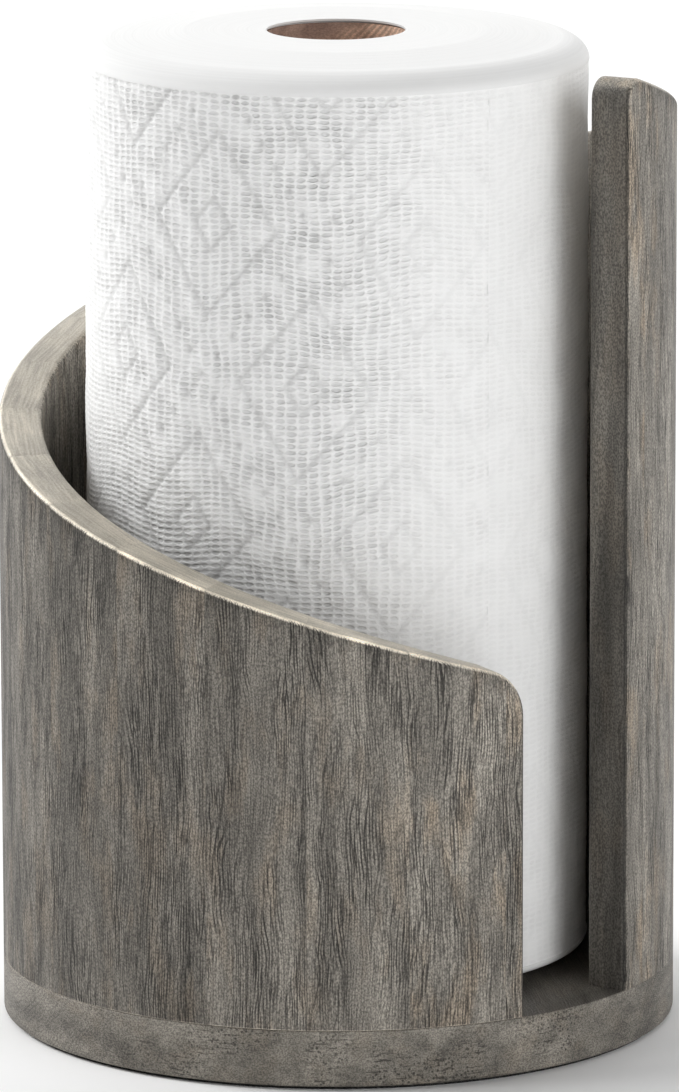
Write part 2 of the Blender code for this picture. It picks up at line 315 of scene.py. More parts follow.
def set_attributes(mesh, **named):
    """Stores numbers or vectors at each point, for the materials to read."""
    for name, values in named.items():
        values = np.asarray(values, np.float32)
        kind, key = ("FLOAT_VECTOR", "vector") if values.ndim == 2 else ("FLOAT", "value")
        mesh.attributes.new(name, kind, "POINT").data.foreach_set(key, values.ravel())


def pairs(first, second):
    """Rows of two numbers, from lists or from one number for all rows."""
    return np.stack(np.broadcast_arrays(first, second), axis=1)


def linked(name, data):
    """A new object in the scene."""
    made = bpy.data.objects.new(name, data)
    bpy.context.scene.collection.objects.link(made)
    return made


def add_piece(name, mesh, material, body, nodes, sharp_angle=35):
    """Links a finished piece, which rides on a body and stands for CAD nodes."""
    piece = linked(name, mesh)
    mesh.materials.append(material)
    mesh.shade_smooth()
    mesh.set_sharp_from_angle(angle=math.radians(sharp_angle))
    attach(piece, body)
    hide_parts(*nodes)


def cut_away(mesh, tools):
    """The mesh with each tool's solid taken away from it."""
    if not tools:
        return mesh
    obj = linked("being_cut", mesh)
    helpers = []
    for tool in tools:
        helper = linked("cutting_tool", tool)
        boolean = obj.modifiers.new("cut", "BOOLEAN")
        boolean.operation = "DIFFERENCE"
        boolean.object = helper
        helpers.append(helper)
    graph = bpy.context.evaluated_depsgraph_get()
    made = bpy.data.meshes.new_from_object(obj.evaluated_get(graph))
    for helper in [obj] + helpers:
        bpy.data.objects.remove(helper)
    return made


def soft_waves(u, v, wavelength, seed):
    """Smooth seeded waves over two coordinates, mostly between -1 and 1."""
    random = np.random.default_rng(seed)
    total = np.zeros(np.broadcast(u, v).shape)
    for _ in range(WAVE_COUNT):
        direction = random.uniform(0, 2 * math.pi)
        length = wavelength * random.uniform(0.7, 1.6)
        phase = random.uniform(0, 2 * math.pi)
        along = u * math.cos(direction) + v * math.sin(direction)
        total += np.cos(2 * math.pi * along / length + phase)
    return total / math.sqrt(WAVE_COUNT)


def smooth_step(value, start, end):
    """A smooth rise from 0 at start to 1 at end."""
    share = np.clip((value - start) / (end - start), 0, 1)
    return share * share * (3 - 2 * share)


# Materials


class Tree:
    """The node tree of a new material or of the world, with short calls for its nodes."""

    def __init__(self, name, world=None):
        self.owner = world or bpy.data.materials.new(name)
        self.owner.use_nodes = True
        self.nodes = self.owner.node_tree.nodes
        self.surface = self.nodes["Background" if world else "Principled BSDF"]

    def node(self, kind, inputs, **settings):
        made = self.nodes.new(kind)
        for key, value in settings.items():
            setattr(made, key, value)
        for socket, value in inputs.items():
            self.feed(made.inputs[socket], value)
        return made

    def feed(self, socket, value):
        if isinstance(value, bpy.types.NodeSocket):
            self.owner.node_tree.links.new(value, socket)
        else:
            socket.default_value = value

    def attribute(self, name, output="Fac"):
        return self.node("ShaderNodeAttribute", {}, attribute_name=name).outputs[output]

    def place(self, kind="Object"):
        return self.node("ShaderNodeTexCoord", {}).outputs[kind]

    def parts(self, vector):
        return self.node("ShaderNodeSeparateXYZ", {0: vector}).outputs

    def vector(self, operation, a, b, output="Vector"):
        made = self.node("ShaderNodeVectorMath", {0: a, 1: b}, operation=operation)
        return made.outputs[output]

    def maths(self, operation, a, b=0.0, c=0.0):
        return self.node("ShaderNodeMath", {0: a, 1: b, 2: c}, operation=operation).outputs[0]

    def times(self, a, b):
        return self.maths("MULTIPLY", a, b)

    def noise(self, vector, stretch, detail=2.0, roughness=0.5, output="Fac"):
        """Noise whose grains are 1 / stretch long, in all directions or in each."""
        stretch = np.broadcast_to(stretch, 3).tolist()
        place = self.vector("MULTIPLY", vector, stretch)
        inputs = {"Vector": place, "Scale": 1.0, "Detail": detail, "Roughness": roughness}
        return self.node("ShaderNodeTexNoise", inputs).outputs[output]

    def cells(self, vector, stretch):
        """The distance to the nearest of points scattered 1 / stretch apart."""
        inputs = {"Vector": self.vector("MULTIPLY", vector, (stretch,) * 3), "Scale": 1.0}
        return self.node("ShaderNodeTexVoronoi", inputs).outputs["Distance"]

    def ramp(self, value, start, end, low=0.0, high=1.0):
        """A smooth rise from low at start to high at end."""
        inputs = {"Value": value, 1: start, 2: end, 3: low, 4: high}
        made = self.node("ShaderNodeMapRange", inputs, interpolation_type="SMOOTHSTEP")
        return made.outputs[0]

    def mix(self, share, a, b, blend_type="MIX"):
        inputs = {0: share, 6: a, 7: b}
        made = self.node("ShaderNodeMix", inputs, data_type="RGBA", blend_type=blend_type)
        return made.outputs[2]

    def tinted(self, colour, tint):
        return self.mix(1.0, colour, tint, "MULTIPLY")

    def bump(self, height, distance, strength=1.0):
        inputs = {"Height": height, "Distance": distance, "Strength": strength}
        return self.node("ShaderNodeBump", inputs).outputs["Normal"]

    def finish(self, colour, roughness, normal=None, metallic=0.0, specular=0.5):
        self.feed(self.surface.inputs["Base Color"], colour)
        self.feed(self.surface.inputs["Roughness"], roughness)
        self.surface.inputs["Metallic"].default_value = metallic
        self.surface.inputs["Specular IOR Level"].default_value = specular
        if normal is not None:
            self.feed(self.surface.inputs["Normal"], normal)
        return self.owner


def grain_lines(tree, lined, direction, spacing, seed):
    """How dark long thin grain lines are: each is broken into stretches of its own."""
    drift = tree.noise(lined, (420, 420, 70))
    across = tree.vector("DOT_PRODUCT", lined, direction, "Value")
    place = tree.maths("ADD", tree.maths("DIVIDE", across, spacing), tree.times(drift, 1.3))
    number = tree.maths("FLOOR", place)
    off_line = tree.maths("ABSOLUTE", tree.maths("SUBTRACT", tree.maths("FRACT", place), 0.5))
    line = tree.ramp(off_line, 0.3, 0.12)
    along = tree.parts(lined)[2]
    track = tree.node("ShaderNodeCombineXYZ", {0: number, 1: along, 2: seed}).outputs[0]
    stretches = tree.noise(track, (7.13, 85.0, 1.0))
    return tree.times(line, tree.ramp(stretches, 0.36, 0.58))


def stain_colour(tree, grain, lined):
    """Bands of two greys along the grain, with patches of brown."""
    bands = tree.ramp(tree.noise(lined, (150, 150, 14), 4.0, 0.6), 0.3, 0.7)
    colour = tree.mix(bands, GREY_DARK, GREY_LIGHT)
    patches = tree.ramp(tree.noise(grain, (110, 110, 34), 3.0, 0.6), 0.48, 0.68)
    return tree.mix(tree.times(patches, tree.attribute("warmth")), colour, WARM_BROWN)


def wood_relief(tree, grain, lined):
    """How deep the wood's surface is open: lines along the grain, and pores in end grain."""
    crowd = tree.ramp(tree.noise(grain, (150, 150, 30), 3.0), 0.36, 0.62, 0.42, 1.0)
    crowd = tree.times(crowd, tree.attribute("figure"))
    first = grain_lines(tree, lined, (0.90, 0.44, 0.0), 0.0007, 0.0)
    second = grain_lines(tree, lined, (0.52, -0.85, 0.0), 0.00052, 4.3)
    lines = tree.times(tree.maths("MAXIMUM", first, second), crowd)
    clusters = tree.ramp(tree.noise(grain, 35), 0.42, 0.56)
    pores = tree.times(tree.ramp(tree.cells(grain, 800), 0.42, 0.18), clusters)
    dashes = tree.ramp(tree.noise(grain, (170, 1500, 170)), 0.58, 0.68)
    pores = tree.maths("MAXIMUM", pores, tree.times(dashes, clusters))
    end = tree.attribute("end")
    pitted = tree.times(end, tree.attribute("pitted"))
    side = tree.maths("SUBTRACT", 1.0, end)
    return tree.maths("ADD", tree.times(lines, side), tree.times(pores, pitted))


def wood_material(name):
    """Grey stained hardwood.

    It reads grain (across, depth, along), tone, warmth, pale, end, pitted and figure.
    """
    tree = Tree(name)
    grain = tree.attribute("grain", "Vector")
    pale = tree.attribute("pale")
    sway = tree.noise(grain, (45, 45, 24), output="Color")
    sway = tree.vector("SUBTRACT", sway, (0.5, 0.5, 0.5))
    lined = tree.vector("ADD", grain, tree.vector("MULTIPLY", sway, (0.005, 0.005, 0.0)))
    depth = wood_relief(tree, grain, lined)

    streaks = tree.ramp(tree.noise(grain, (70, 1100, 90), 3.0, 0.6), 0.35, 0.65, 0.72, 1.05)
    ash = tree.tinted(ASH_COLOUR, streaks)
    colour = tree.mix(pale, stain_colour(tree, grain, lined), ash)
    colour = tree.mix(tree.times(depth, 0.9), colour, PORE_COLOUR)
    broad = tree.ramp(tree.noise(grain, (42, 42, 9)), 0.32, 0.68, 0.8, 1.2)
    colour = tree.tinted(colour, broad)
    fuzz = tree.ramp(tree.noise(grain, (2300, 2300, 1400)), 0.35, 0.65, 0.62, 1.38)
    fuzzy = tree.maths("MULTIPLY_ADD", pale, -0.9, 1.0)
    colour = tree.mix(fuzzy, colour, fuzz, "MULTIPLY")
    colour = tree.tinted(colour, tree.attribute("tone", "Color"))

    normal = tree.bump(tree.maths("SUBTRACT", 1.0, depth), 0.00015)
    dull = tree.ramp(depth, 0.0, 1.0, 0.66, 0.8)
    roughness = tree.maths("SUBTRACT", dull, tree.times(pale, 0.45))
    tree.surface.inputs["Coat Weight"].default_value = 0.1
    tree.surface.inputs["Coat Roughness"].default_value = 0.22
    return tree.finish(colour, roughness, normal, specular=0.25)


def paper_pits(tree, place):
    """How deep the small cells are pressed in: soft ovals in the middles of their oblongs."""
    column, row, _ = tree.parts(tree.attribute("cell", "Vector"))
    wobble = tree.parts(tree.noise(place, 330, output="Color"))
    squares = []
    for share, reach, nudge in ((column, 0.5, wobble[0]), (row, 0.42, wobble[1])):
        centred = tree.maths("SUBTRACT", tree.maths("FRACT", share), 0.5)
        moved = tree.maths("ADD", centred, tree.maths("MULTIPLY_ADD", nudge, 0.5, -0.25))
        squares.append(tree.maths("POWER", tree.maths("DIVIDE", moved, reach), 2.0))
    from_middle = tree.maths("ADD", squares[0], squares[1])
    return tree.times(tree.ramp(from_middle, 1.0, 0.25), tree.attribute("pitted"))


def paper_material(name):
    """Soft white towel paper. It reads cell (column, row), pitted and grooved."""
    tree = Tree(name)
    place = tree.place()
    pits = paper_pits(tree, place)
    cloudy = tree.ramp(tree.noise(place, 90, 3.0), 0.3, 0.7, 0.97, 1.0)
    grooves = tree.times(tree.attribute("grooved"), GROOVE_SHADE)
    shade = tree.maths("ADD", tree.times(pits, PIT_SHADE), grooves)
    colour = tree.mix(shade, tree.tinted(PAPER_WHITE, cloudy), PAPER_SHADE)
    fibres = tree.noise(place, 2200, 4.0, 0.7)
    height = tree.maths("SUBTRACT", tree.times(fibres, 0.45), pits)
    return tree.finish(colour, 0.95, tree.bump(height, 0.0004), specular=0.2)


def paper_end_material(name):
    """The cut edges of the wound paper, with faint rings."""
    tree = Tree(name)
    place = tree.place()
    x, y, z = tree.parts(place)
    radius = tree.maths("SQRT", tree.maths("ADD", tree.times(x, x), tree.times(y, y)))
    combined = tree.node("ShaderNodeCombineXYZ", {0: radius, 1: 0.0, 2: z}).outputs[0]
    rings = tree.noise(combined, (1500, 1, 40), 3.0, 0.6)
    colour = tree.tinted(PAPER_EDGE, tree.ramp(rings, 0.3, 0.7, 0.955, 1.0))
    fibres = tree.noise(place, 2600, 2.0, 0.6)
    height = tree.maths("ADD", rings, tree.times(fibres, 0.5))
    return tree.finish(colour, 0.95, tree.bump(height, 0.00012, 0.6), specular=0.2)


def cardboard_material(name):
    """Brown wound board: a dark ply, a light one with stripes, and a seam between them.
    The plies' tints are partly painted shade and painted light.

    It reads ply (0 dark, 1 light), diagonal (a length across the stripes) and seam.
    """
    tree = Tree(name)
    place = tree.place()
    ply = tree.attribute("ply")
    blotches = tree.ramp(tree.noise(place, 160, 3.0), 0.3, 0.7)
    colour = tree.mix(blotches, BOARD_DARK, BOARD_LIGHT)
    fibres = tree.noise(place, (1300, 1300, 2600), 3.0, 0.7)
    colour = tree.tinted(colour, tree.ramp(fibres, 0.35, 0.7, 0.75, 1.2))
    turns = tree.times(tree.attribute("diagonal"), 2 * math.pi / STRIPE_PITCH)
    stripes = tree.ramp(tree.maths("SINE", turns), -0.6, 0.9, 0.72, 1.1)
    colour = tree.mix(ply, colour, tree.tinted(colour, stripes))
    # painted light and shade: the tints of the lit and the dark ply
    colour = tree.tinted(colour, tree.mix(ply, SHADED_PLY_TINT, LIT_PLY_TINT))
    seam = tree.times(tree.attribute("seam"), 0.55)
    colour = tree.mix(seam, colour, SEAM_COLOUR)
    return tree.finish(colour, 0.85, tree.bump(fibres, 0.0001, 0.6), specular=0.3)


def steel_material(name):
    """Zinc-plated steel with fine turning marks."""
    tree = Tree(name)
    place = tree.place()
    marks = tree.noise(place, (900, 900, 5200))
    patina = tree.ramp(tree.noise(place, 420, 3.0), 0.3, 0.7)
    colour = tree.mix(patina, STEEL_DULL, STEEL_BRIGHT)
    roughness = tree.ramp(marks, 0.2, 0.8, 0.28, 0.48)
    return tree.finish(colour, roughness, tree.bump(marks, 0.00003), metallic=1.0)


def rubber_material(name):
    """Black non-slip rubber with a fine woven texture."""
    tree = Tree(name)
    place = tree.place()
    ribs = [tree.maths("SINE", tree.times(part, 3800.0)) for part in tree.parts(place)[:2]]
    dust = tree.ramp(tree.noise(place, 300, 3.0), 0.4, 0.75)
    colour = tree.mix(dust, RUBBER_BLACK, RUBBER_DUST)
    return tree.finish(colour, 0.85, tree.bump(tree.times(*ribs), 0.00025), specular=0.3)


# The wall


def corner_points(end, radius, start_angle, end_angle):
    """(length, height) round one rounded corner of the rim, between two angles of its normal."""
    lean = math.sqrt(1 + RIM_SLOPE**2)
    centre = end + radius if end == 0 else end - radius
    height = TALL_END_HEIGHT - RIM_SLOPE * centre - radius * lean
    angles = np.linspace(start_angle, end_angle, CORNER_STEPS + 1)
    return pairs(centre + radius * np.cos(angles), height + radius * np.sin(angles))


def rim_outline():
    """(length, height) along the rim, from the top of the tall end face to the low one's."""
    rim_normal = math.atan2(1, RIM_SLOPE)
    tall = corner_points(0, TALL_CORNER_RADIUS, math.pi, rim_normal)
    low = corner_points(WALL_LENGTH, LOW_CORNER_RADIUS, rim_normal, 0)
    return np.vstack([tall, low])


def distance_to_edge(length, height, outline):
    """How far points of the unrolled wall are from its rim and its two end faces."""
    feet = np.array([[0, 0], [WALL_LENGTH, 0]])
    path = np.vstack([feet[:1], outline, feet[1:]])
    start, step = path[:-1], np.diff(path, axis=0)
    points = np.stack(np.broadcast_arrays(length, height), axis=-1)[..., None, :]
    share = ((points - start) * step).sum(-1) / (step**2).sum(-1)
    nearest = start + np.clip(share, 0, 1)[..., None] * step
    return np.hypot(*np.moveaxis(points - nearest, -1, 0)).min(-1)


def rounding_steps(radius):
    """Distances from an edge that divide its rounding evenly, and one just beyond it."""
    angles = np.linspace(0, math.pi / 2, ROUNDING_STEPS + 1)
    return np.append(radius * (1 - np.cos(angles)), radius * BEYOND_ROUNDING)


def rounding_inset(distance, radius):
    """How far a rounded edge lies inside the flat face, at a distance from the edge."""
    inside = np.clip(radius - distance, 0, radius)
    return radius - np.sqrt(radius**2 - inside**2)


def stave_lengths(start, end, outline):
    """Where one stave's columns of points are along the wall."""
    half_gap = JOINT_GAP / 2
    low = start if start == 0 else start + half_gap
    high = end if end == WALL_LENGTH else end - half_gap
    places = list(np.linspace(low, high, STAVE_COLUMNS + 1))
    corners = list(outline[:, 0]) + list(rounding_steps(RIM_ROUNDING))
    corners += list(WALL_LENGTH - rounding_steps(RIM_ROUNDING))
    places += [s for s in corners if low < s < high]
    places = np.unique(np.round(places, 7))
    kept = np.append(True, np.diff(places) > NARROWEST_COLUMN)
    kept[-1] = True
    return places[kept]


def stave_mesh(name, start, end, outline):
    """One stave as a ring of points per column: up its outer face and down its inner one."""
    lengths = stave_lengths(start, end, outline)
    tops = np.interp(lengths, outline[:, 0], outline[:, 1])
    below = np.concatenate([rounding_steps(RIM_ROUNDING), np.geomspace(*ROW_DEPTHS)])
    rows = tops[:, None] - below[None, ::-1]
    foot = np.full((len(lengths), 1), BASE_TOP + FOOT_GAP)
    rows = np.hstack([foot, foot + FOOT_EASE, foot + 2 * FOOT_EASE, rows])
    edge = distance_to_edge(lengths[:, None], rows, outline)
    inset = rounding_inset(edge, RIM_ROUNDING)
    inset[:, 0] = np.maximum(inset[:, 0], FOOT_EASE)
    azimuth = TALL_END_AZIMUTH + np.degrees(lengths / OUTER_RADIUS)[:, None]
    outer = around(azimuth, OUTER_RADIUS - inset, rows)
    inner = around(azimuth, INNER_RADIUS + inset, rows)
    rings = np.concatenate([outer, inner[:, ::-1]], axis=1)
    count, around_count = rings.shape[:2]
    faces = grid_faces(count, around_count, close_columns=True)
    half = around_count // 2
    for first in (0, (count - 1) * around_count):
        for k in range(half - 1):
            across = around_count - 1 - k
            faces.append([first + k, first + k + 1, first + across - 1, first + across])
    return mesh_of(name, rings, faces)


def screw_azimuths():
    """The middles of the staves that take a screw, by stave number."""
    numbers = [1 + SCREW_STAVE_STEP * k for k in range(SCREW_COUNT)]
    return {n: FIRST_JOINT_AZIMUTH + STAVE_ANGLE * (n - 0.5) for n in numbers}


def hole_tool(azimuth):
    """The space that one countersunk screw takes, with its clearance."""
    grow = HOLE_CLEARANCE
    length = SCREW_TOP - SCREW_BOTTOM
    slant = HEAD_RADIUS - SHANK_RADIUS
    profile = [
        (SHANK_RADIUS / 4, length + grow),
        (SHANK_RADIUS + grow, length - TIP_LENGTH + grow),
        (SHANK_RADIUS + grow, slant + grow),
        (HEAD_RADIUS + grow, grow),
        (HEAD_RADIUS + grow, -4 * grow),
    ]
    tool = turned_mesh("screw_hole", rings_of(profile, SCREW_FACETS))
    tool.transform(Matrix.Translation(at_azimuth(azimuth, MIDDLE_RADIUS, SCREW_BOTTOM)))
    return tool


class WoodPoints:
    """Where a board's points are, and how far their normals lean each way."""

    def __init__(self, mesh, on_wall):
        self.places = coordinates(mesh)
        self.normals = np.array([normal.vector[:] for normal in mesh.vertex_normals])
        self.azimuth = np.degrees(np.arctan2(self.places[:, 0], -self.places[:, 1]))
        outwards, sideways = (around(self.azimuth + turn, 1.0, 0.0) for turn in (0, 90))
        # a point of the tall end may lie just before the end's own azimuth
        self.length = np.radians((self.azimuth - TALL_END_AZIMUTH + 1) % 360 - 1) * OUTER_RADIUS
        from_slot = np.minimum(self.length, WALL_LENGTH - self.length)
        self.slot_face = on_wall * smooth_step(from_slot, 2 * RIM_ROUNDING, RIM_ROUNDING)
        self.radial = (self.normals * outwards).sum(axis=1)
        self.tangential = np.abs((self.normals * sideways).sum(axis=1)) * self.slot_face
        self.upright = np.abs(self.normals[:, 2])
        # edges where wear shows, made pale partly as a painted highlight
        self.wear_and_highlight = smooth_step(np.minimum(self.radial, self.upright), *EDGE_LEAN)


def wall_tone(points, figure):
    """Painted shade on the wall's slot faces, darker creases, painted light on its inner face
    and a painted highlight along its outer edge.
    """
    # painted shade: the slot's side faces are darkened
    tone = SLOT_FACE_SHADED_TONE + (1 - SLOT_FACE_SHADED_TONE) * figure
    creased = smooth_step(np.minimum(points.radial, points.tangential), *EDGE_LEAN)
    # painted light: the inner face is brightened
    inside = smooth_step(-points.radial, 0.5, 0.9)
    under_rim = TALL_END_HEIGHT - RIM_SLOPE * points.length - points.places[:, 2]
    shaded = np.exp(-((under_rim / RIM_SHADE_HEIGHT) ** 2)) * smooth_step(points.radial, 0.8, 0.98)
    # painted highlight along the rim's outer edges, strongest near GLINT_AZIMUTH
    painted_glint = points.wear_and_highlight * np.exp(-(((points.azimuth - GLINT_AZIMUTH) / GLINT_SPREAD) ** 2))
    tone = tone * (1 - CREASE_SHADE * creased) * (1 + inside) * (1 - RIM_SHADE * shaded)
    return tone * (1 + GLINT_GAIN * painted_glint)


def wood_attributes(mesh, turn, number, warmth, look):
    """Gives a board its own grain, tone, end grain and worn edges, whose paleness is partly a
    painted highlight; on the wall its tone also carries painted light and shade.

    turn is the azimuth of the board's middle or of its grain, and number picks its random values.
    """
    random = np.random.default_rng(100 + number)
    on_wall = look["along_z"]
    points = WoodPoints(mesh, on_wall)
    outward, up = at_azimuth(turn, 1, 0), Vector((0, 0, 1))
    along, depth = (up, outward) if on_wall else (outward, up)
    axes = np.array([along.cross(depth), depth, along])
    figure = 1 - (1 - SLOT_FACE_FIGURE) * smooth_step(points.tangential, 0.6, 0.95)
    near_slot = np.exp(-(((points.azimuth - PALE_AZIMUTH) / PALE_SPREAD) ** 2))
    tone = (1 + look["pale_gain"] * near_slot) * random.uniform(0.96, 1.04)
    if on_wall:
        lean = np.sqrt(points.radial**2 + points.tangential**2 + points.upright**2)
        end = smooth_step(points.upright / lean, *END_LEAN)
        tone = tone * wall_tone(points, figure)
        # painted dark reflection: the rim's tall end is made less pale
        at_tall_end = np.exp(-((points.length / (2 * TALL_CORNER_RADIUS)) ** 2))
        paleness = look["paleness"] * (1 - TALL_END_LOSS * at_tall_end)
    else:
        end = smooth_step(np.abs(points.normals @ axes[2]), *END_LEAN)
        tone = tone * (1 - FLOOR_SHADE * smooth_step(points.normals[:, 2], 0.9, 1.0))
        paleness = look["paleness"]
    # worn edges are pale, partly as a painted highlight
    pale = np.maximum(0.9 * end, points.wear_and_highlight) * paleness
    set_attributes(
        mesh,
        grain=points.places @ axes.T + random.uniform(-1, 1, 3),
        tone=tone,
        warmth=warmth * (1 - 0.7 * points.slot_face * points.tangential),
        end=end,
        pitted=np.full(len(points.places), look["pitted"]),
        figure=figure * look["lines"],
        pale=pale * (1 - RIM_PALE_LOSS * smooth_step(points.azimuth, *RIM_PALE_AZIMUTHS)),
    )


def stave_warmth(number):
    """How brown a stave's patches are: more beside the slot than elsewhere."""
    beside_slot = {0: 0.75, 1: 0.6, 18: 0.35, 19: 0.6, 20: 0.55}
    return beside_slot.get(number, 0.4)


def add_wall(material):
    outline = rim_outline()
    joints = np.arange(FIRST_JOINT_AZIMUTH, LOW_END_AZIMUTH, STAVE_ANGLE)
    lengths = np.radians(joints - TALL_END_AZIMUTH) * OUTER_RADIUS
    edges = [0.0] + list(lengths) + [WALL_LENGTH]
    last = len(edges) - 2
    screws = screw_azimuths()
    for i in range(last + 1):
        node = {0: "tall_end_strip", last: "low_end_strip"}.get(i, f"stave_{i:02d}")
        name = "wood_" + node
        mesh = stave_mesh(name, edges[i], edges[i + 1], outline)
        if i in screws:
            mesh = cut_away(mesh, [hole_tool(screws[i])])
        middle = TALL_END_AZIMUTH + math.degrees((edges[i] + edges[i + 1]) / 2 / OUTER_RADIUS)
        wood_attributes(mesh, middle, i, stave_warmth(i), WALL_LOOK)
        add_piece(name, mesh, material, "holder", [node])


# The base, its pad and its screws


def rounded_edge(radius, level, rounding):
    """(radius, height) from a level face, round its edge, to an upright side.

    A negative rounding leads up from a lower face.
    """
    steps = rounding_steps(abs(rounding))[::-1]
    inset = rounding_inset(steps, abs(rounding))
    edge = pairs(radius - steps, level - math.copysign(1, rounding) * inset)
    return np.vstack([edge, [[radius, level - 2 * rounding]]])


def board_mesh(name, low, high):
    """The part of a rounded disc between two lines along the grain."""
    top = rounded_edge(OUTER_RADIUS, BASE_TOP, BASE_TOP_ROUNDING)
    bottom = rounded_edge(OUTER_RADIUS, BASE_BOTTOM, -BASE_FOOT_ROUNDING)[::-1]
    mesh = turned_mesh(name, rings_of(np.vstack([top, bottom]), BASE_FACETS))
    bm = bmesh.new()
    bm.from_mesh(mesh)
    across = at_azimuth(BASE_GRAIN_AZIMUTH + 90, 1, 0)
    for offset, side_of_cut in ((low, -1), (high, 1)):
        if abs(offset) > OUTER_RADIUS:
            continue
        bmesh.ops.bisect_plane(
            bm,
            geom=bm.verts[:] + bm.edges[:] + bm.faces[:],
            plane_co=across * offset,
            plane_no=across * side_of_cut,
            clear_outer=True,
        )
        bmesh.ops.holes_fill(bm, edges=[e for e in bm.edges if e.is_boundary], sides=0)
    return turned_outward(mesh, bm)


def add_base(material):
    far = 2 * OUTER_RADIUS
    half_gap = JOINT_GAP / 2
    boards = {
        "base_board_left": (-far, -BOARD_JOINT_OFFSET - half_gap),
        "base_board_middle": (-BOARD_JOINT_OFFSET + half_gap, BOARD_JOINT_OFFSET - half_gap),
        "base_board_right": (BOARD_JOINT_OFFSET + half_gap, far),
    }
    across = at_azimuth(BASE_GRAIN_AZIMUTH + 90, 1, 0)
    for node, (low, high) in boards.items():
        screws = screw_azimuths().values()
        inside = [a for a in screws if low < at_azimuth(a, MIDDLE_RADIUS, 0).dot(across) < high]
        mesh = cut_away(board_mesh("wood_" + node, low, high), [hole_tool(a) for a in inside])
        wood_attributes(mesh, BASE_GRAIN_AZIMUTH, BASE_NUMBER, BASE_WARMTH, BASE_LOOK)
        add_piece("wood_" + node, mesh, material, "holder", [node])


def add_pad(material):
    """A thin disc with softly rounded edges."""
    rounding = (PAD_TOP - PAD_BOTTOM) * 0.2
    top = rounded_edge(PAD_RADIUS, PAD_TOP, rounding)
    bottom = rounded_edge(PAD_RADIUS, PAD_BOTTOM, -rounding)[::-1]
    mesh = turned_mesh("rubber_pad", rings_of(np.vstack([top, bottom]), BASE_FACETS))
    add_piece("rubber_pad", mesh, material, "holder", ["non_slip_pad"])


def screw_mesh(name):
    """A countersunk wood screw that points up, with its thread and a cross recess."""
    length = SCREW_TOP - SCREW_BOTTOM
    slant = HEAD_RADIUS - SHANK_RADIUS
    thread = np.arange(slant + THREAD_PITCH, length - 0.0004, THREAD_PITCH / THREAD_STEPS)
    face = np.linspace(0.0002, HEAD_RADIUS - 0.0002, HEAD_RINGS)
    heights_up = np.concatenate([np.zeros(len(face)), [0.0003, slant], thread, [length]])
    outline = np.concatenate([face, [HEAD_RADIUS, SHANK_RADIUS], np.zeros(len(thread) + 1)])
    turn = np.arange(SCREW_FACETS) / SCREW_FACETS
    height = np.repeat(heights_up[:, None], SCREW_FACETS, axis=1)
    phase = (height / THREAD_PITCH - turn[None, :]) % 1
    ridge = np.clip(1 - np.abs(phase - 0.5) / RIDGE_WIDTH, 0, 1)
    taper = np.clip((length - height) / TIP_LENGTH, TIP_SHARE, 1)
    shaft = (SHANK_RADIUS - THREAD_DEPTH + THREAD_DEPTH * ridge) * taper
    ring = np.arange(len(heights_up))[:, None]
    radius = np.where(ring < len(face) + 2, outline[:, None], shaft)
    rings = around(360 * turn[None, :], radius, height)
    x, y = np.abs(rings[..., 0]), np.abs(rings[..., 1])
    half_width = RECESS_WIDTH / 2
    arm = smooth_step(np.minimum(x, y), half_width + RECESS_EASE, half_width - RECESS_EASE)
    reach = smooth_step(np.maximum(x, y), RECESS_SPAN / 2, RECESS_SPAN / 6)
    rings[..., 2] += np.where(ring < len(face), RECESS_DEPTH * arm * reach, 0)
    return turned_mesh(name, rings)


def add_screws(material):
    for order, azimuth in enumerate(screw_azimuths().values(), start=1):
        mesh = screw_mesh(f"steel_screw_{order}")
        turn = Matrix.Rotation(math.radians(azimuth * 3), 4, "Z")
        place = Matrix.Translation(at_azimuth(azimuth, MIDDLE_RADIUS, SCREW_BOTTOM))
        mesh.transform(place @ turn)
        node = f"wood_screw_{order}"
        add_piece(f"steel_screw_{order}", mesh, material, "holder", [node])


# The roll


def core_profile():
    """(radius, height) up the core's bore, over its top, down its outside and under its foot."""
    upright = np.linspace(ROLL_BOTTOM, ROLL_TOP - 1.2 * LIP_HEIGHT, CORE_ROWS)
    shares = np.linspace(0, 1, CORE_EDGE_RINGS + 2)[1:-1]
    edge_radii = CORE_BORE_RADIUS + (CORE_RADIUS - CORE_BORE_RADIUS) * shares
    fold = CORE_EDGE_RELIEF * (np.arange(len(shares)) % 2)
    return np.vstack([
        pairs(CORE_BORE_RADIUS, upright),
        pairs(edge_radii, upright[-1] - fold),
        pairs(CORE_RADIUS, upright[::-1]),
        pairs(edge_radii[::-1], ROLL_BOTTOM + fold[::-1]),
    ])


